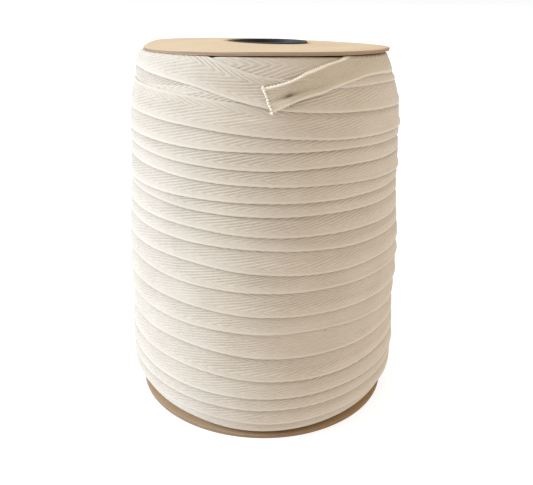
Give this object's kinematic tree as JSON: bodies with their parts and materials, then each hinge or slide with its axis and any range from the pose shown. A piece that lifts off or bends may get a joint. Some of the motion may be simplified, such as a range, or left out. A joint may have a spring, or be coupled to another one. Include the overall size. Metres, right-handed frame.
{
  "type": "roll of cotton tape",
  "caption": "Roll of off-white herringbone cotton tape wound in overlapping turns on a card spool with round card ends and a black core, its cut end hanging loose.",
  "frame": {"origin": "middle of the underside of the lower card, on the spool's axis", "axes": "+Z along the spool's axis, up; the loose end hangs over the side at -Y; +X to the right as seen from there"},
  "size_m": [0.131, 0.131, 0.1664],
  "materials": {
    "tape": "undyed off-white cotton, herringbone weave",
    "card": "matt light brown card, its cut edge darker",
    "core": "black with a soft sheen"
  },
  "bodies": {
    "root": {"winding": "tape", "tape_end": "tape", "flange_top": "card", "flange_bottom": "card", "core": "core"}
  },
  "joints": []
}
